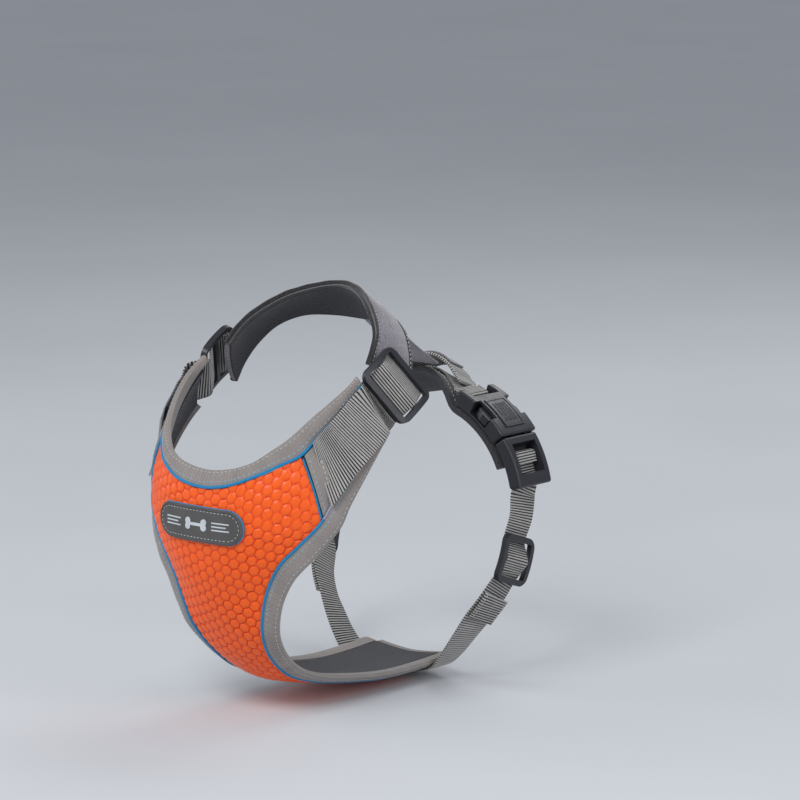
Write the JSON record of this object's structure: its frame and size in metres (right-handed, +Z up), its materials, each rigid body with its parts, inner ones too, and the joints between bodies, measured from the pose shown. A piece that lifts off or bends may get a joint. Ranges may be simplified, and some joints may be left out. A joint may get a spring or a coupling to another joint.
{
  "type": "no pull harness",
  "caption": "Front-range dog harness: quilted chest panel, padded yoke, spine strap and girth strap with two side release buckles, sliders, handle and leash ring",
  "frame": {"origin": "centre of the girth ring, inside the wearer's chest", "axes": "+X to the wearer's left, +Y rearwards along the wearer's back, +Z up"},
  "size_m": [0.1968, 0.3148, 0.2943],
  "materials": {
    "orange_mesh": "glossy quilted",
    "foam": "foam",
    "air_mesh": "knitted mesh",
    "grosgrain": "ribbed tape",
    "blue_piping": "smooth",
    "slate_mesh": "mesh",
    "striped_webbing": "striped, ribbed",
    "black_plastic": "satin",
    "grey_felt": "soft",
    "black_tape": "woven",
    "steel": "polished",
    "label_rubber": "matt",
    "pale_print": "matt"
  },
  "bodies": {
    "harness": {"arm_lining_l": "air_mesh", "arm_lining_r": "air_mesh", "arm_panel_l": "slate_mesh", "arm_panel_r": "slate_mesh", "armhole_binding_l": "grosgrain", "armhole_binding_r": "grosgrain", "armhole_piping_l": "blue_piping", "armhole_piping_r": "blue_piping", "back_pad": "black_tape", "back_pad_lining": "air_mesh", "back_webbing": "striped_webbing", "buckle_female_l": "black_plastic", "buckle_female_r": "black_plastic", "buckle_plate_l": "black_plastic", "buckle_plate_r": "black_plastic", "chest_foam": "foam", "chest_label": "label_rubber", "chest_lining": "air_mesh", "chest_rear_tape": "grosgrain", "chest_shell": "orange_mesh", "cross_piping_l": "blue_piping", "cross_piping_r": "blue_piping", "cross_tape_l": "grosgrain", "cross_tape_r": "grosgrain", "handle_grip": "grey_felt", "handle_webbing": "striped_webbing", "label_emblem": "pale_print", "neck_binding": "grosgrain", "neck_piping": "blue_piping", "ring_keeper": "striped_webbing", "shoulder_webbing_l": "striped_webbing", "shoulder_webbing_r": "striped_webbing", "spine_webbing": "grey_felt", "yoke_lining": "air_mesh", "yoke_pad": "grey_felt", "yoke_tape_neck": "black_tape", "yoke_tape_outer": "black_tape"},
    "male_l": {"buckle_male_l": "black_plastic", "girth_strap_l": "striped_webbing", "girth_tail_l": "striped_webbing"},
    "male_r": {"buckle_male_r": "black_plastic", "girth_strap_r": "striped_webbing", "girth_tail_r": "striped_webbing"},
    "prong_front_l": {"prong_front_l": "black_plastic"},
    "prong_rear_l": {"prong_rear_l": "black_plastic"},
    "prong_front_r": {"prong_front_r": "black_plastic"},
    "prong_rear_r": {"prong_rear_r": "black_plastic"},
    "ring": {"d_ring": "steel"},
    "slider_shoulder_l": {"shoulder_slider_l": "black_plastic"},
    "slider_shoulder_r": {"shoulder_slider_r": "black_plastic"},
    "slider_girth_l": {"girth_slider_l": "black_plastic"},
    "slider_girth_r": {"girth_slider_r": "black_plastic"}
  },
  "joints": [
    {"name": "buckle_l", "type": "hinge", "parent": "harness", "child": "male_l", "pos_m": [0.0138, 0.036, 0.0162], "axis": [0, 1, 0], "range_deg": [0, 34], "deforming": ["girth_strap_l", "girth_tail_l", "prong_front_l", "prong_rear_l"]},
    {"name": "prong_rear_l", "type": "hinge", "parent": "male_l", "child": "prong_rear_l", "pos_m": [0.07742, 0.0473, 0.06698], "axis": [0.7815, 0, 0.6239], "range_deg": [0, 8], "stiffness_Nm_per_rad": 0.4},
    {"name": "prong_front_l", "type": "hinge", "parent": "male_l", "child": "prong_front_l", "pos_m": [0.07742, 0.0247, 0.06698], "axis": [-0.7815, 0, -0.6239], "range_deg": [0, 8], "stiffness_Nm_per_rad": 0.4},
    {"name": "buckle_r", "type": "hinge", "parent": "harness", "child": "male_r", "pos_m": [-0.0138, 0.036, 0.0162], "axis": [0, -1, 0], "range_deg": [0, 34], "deforming": ["girth_strap_r", "girth_tail_r", "prong_front_r", "prong_rear_r"]},
    {"name": "prong_rear_r", "type": "hinge", "parent": "male_r", "child": "prong_rear_r", "pos_m": [-0.07742, 0.0473, 0.06698], "axis": [0.7815, 0, -0.6239], "range_deg": [0, 8], "stiffness_Nm_per_rad": 0.4},
    {"name": "prong_front_r", "type": "hinge", "parent": "male_r", "child": "prong_front_r", "pos_m": [-0.07742, 0.0247, 0.06698], "axis": [-0.7815, 0, 0.6239], "range_deg": [0, 8], "stiffness_Nm_per_rad": 0.4},
    {"name": "d_ring_swing", "type": "hinge", "parent": "harness", "child": "ring", "pos_m": [0, 0.069, 0.0924], "axis": [1, 0, 0], "range_deg": [0, 110]},
    {"name": "shoulder_slide_l", "type": "slide", "parent": "harness", "child": "slider_shoulder_l", "axis": [0, 0.8453, 0.5342], "range_m": [0, 0.0025], "deforming": ["shoulder_webbing_l"]},
    {"name": "girth_slide_l", "type": "slide", "parent": "male_l", "child": "slider_girth_l", "axis": [-0.0473, -0.3215, -0.9457], "range_m": [0, 0.0025], "deforming": ["girth_strap_l", "girth_tail_l"]},
    {"name": "shoulder_slide_r", "type": "slide", "parent": "harness", "child": "slider_shoulder_r", "axis": [0, 0.8453, 0.5342], "range_m": [0, 0.0025], "deforming": ["shoulder_webbing_r"]},
    {"name": "girth_slide_r", "type": "slide", "parent": "male_r", "child": "slider_girth_r", "axis": [0.0473, -0.3215, -0.9457], "range_m": [0, 0.0025], "deforming": ["girth_strap_r", "girth_tail_r"]}
  ],
  "couplings": [
    {"joint": "prong_rear_l", "follows": "prong_front_l", "ratio": 1},
    {"joint": "prong_rear_r", "follows": "prong_front_r", "ratio": 1}
  ]
}
